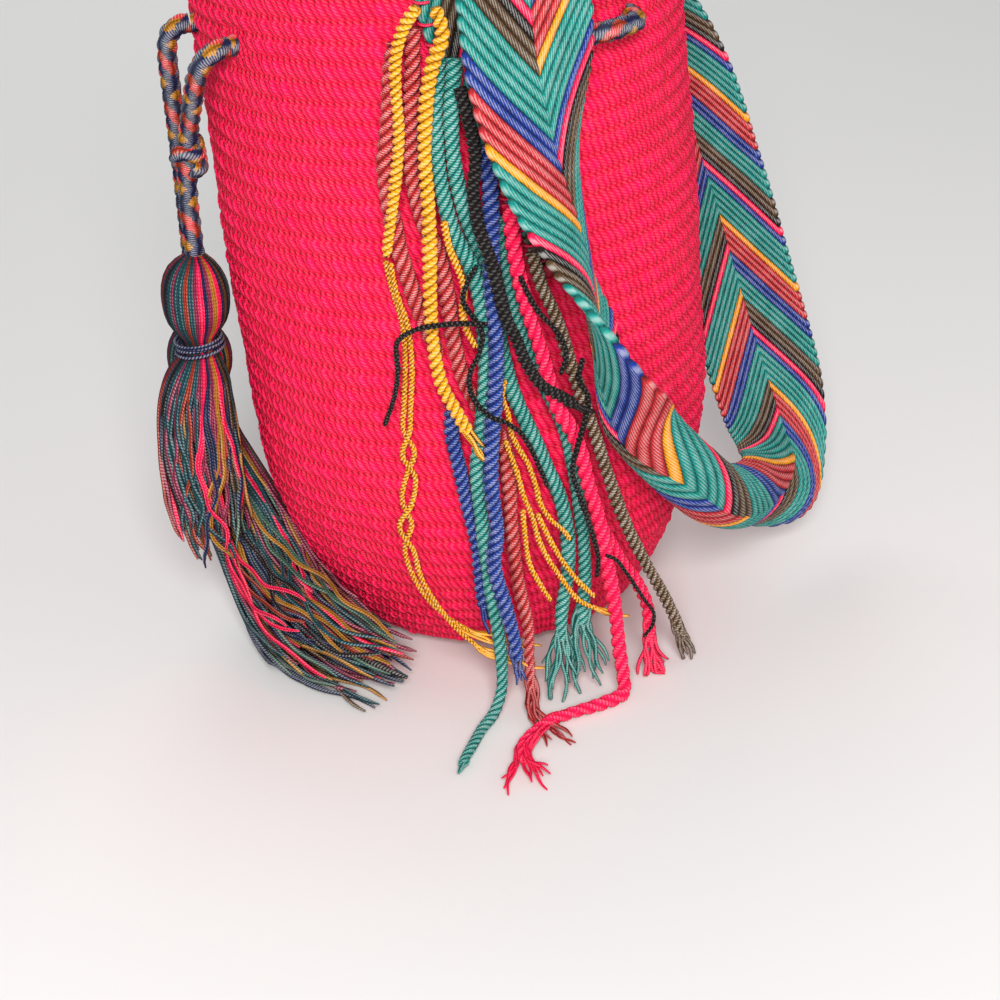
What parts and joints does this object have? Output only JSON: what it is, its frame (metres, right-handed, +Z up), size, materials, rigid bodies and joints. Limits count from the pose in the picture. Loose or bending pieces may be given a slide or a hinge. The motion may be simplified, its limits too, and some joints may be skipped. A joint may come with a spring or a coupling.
{
  "type": "crocheted drawstring bag",
  "caption": "Small crocheted bucket bag with a woven shoulder strap, a drawstring round its mouth that ends in tassels, and a fringe of loose strap cords down its front and back.",
  "frame": {"origin": "middle of the flat crocheted base, on the surface the bag stands on", "axes": "+Z up; the strap is sewn on at -Y (front) and +Y (back) and its loop hangs past +X; the drawstring's ends hang at -X"},
  "size_m": [0.2262, 0.2197, 0.2651],
  "materials": {
    "crochet_pink": "matte crocheted cotton",
    "strap_weave": "finger-woven cotton in teal, blue, coral, yellow, pink, black and olive stripes",
    "drawstring_braid": "round braid of mixed cotton yarn",
    "tassel_yarn": "mixed cut cotton yarn",
    "cord_yellow": "twisted cotton cord",
    "cord_coral": "twisted cotton cord",
    "cord_teal": "twisted cotton cord",
    "cord_blue": "twisted cotton cord",
    "cord_black": "twisted cotton cord",
    "cord_pink": "twisted cotton cord",
    "cord_olive": "twisted cotton cord"
  },
  "bodies": {
    "root": {"bag_body": "crochet_pink", "strap": "strap_weave", "drawstring_round_mouth": "drawstring_braid", "drawstring_end_1": "drawstring_braid", "drawstring_end_2": "drawstring_braid", "tassel_1": "tassel_yarn", "tassel_1_tie": "tassel_yarn", "tassel_2": "tassel_yarn", "tassel_2_tie": "tassel_yarn", "yellow_cord_1": "cord_yellow", "yellow_strand_1": "cord_yellow", "yellow_strand_2": "cord_yellow", "yellow_cord_2": "cord_yellow", "yellow_cord_3": "cord_yellow", "yellow_strand_3": "cord_yellow", "yellow_strand_4": "cord_yellow", "yellow_strand_5": "cord_yellow", "yellow_strand_6": "cord_yellow", "coral_cord_1": "cord_coral", "coral_cord_2": "cord_coral", "teal_cord_1": "cord_teal", "teal_cord_2": "cord_teal", "teal_cord_3": "cord_teal", "blue_cord_1": "cord_blue", "blue_cord_2": "cord_blue", "black_cord_1": "cord_black", "black_cord_2": "cord_black", "black_cord_3": "cord_black", "black_cord_4": "cord_black", "black_cord_5": "cord_black", "black_cord_6": "cord_black", "pink_cord_1": "cord_pink", "pink_cord_2": "cord_pink", "olive_cord_1": "cord_olive", "back_yellow_cord_1": "cord_yellow", "back_coral_cord_2": "cord_coral", "back_teal_cord_3": "cord_teal", "back_black_cord_4": "cord_black", "back_blue_cord_5": "cord_blue", "back_pink_cord_6": "cord_pink", "back_olive_cord_7": "cord_olive", "back_teal_cord_8": "cord_teal"}
  },
  "joints": []
}
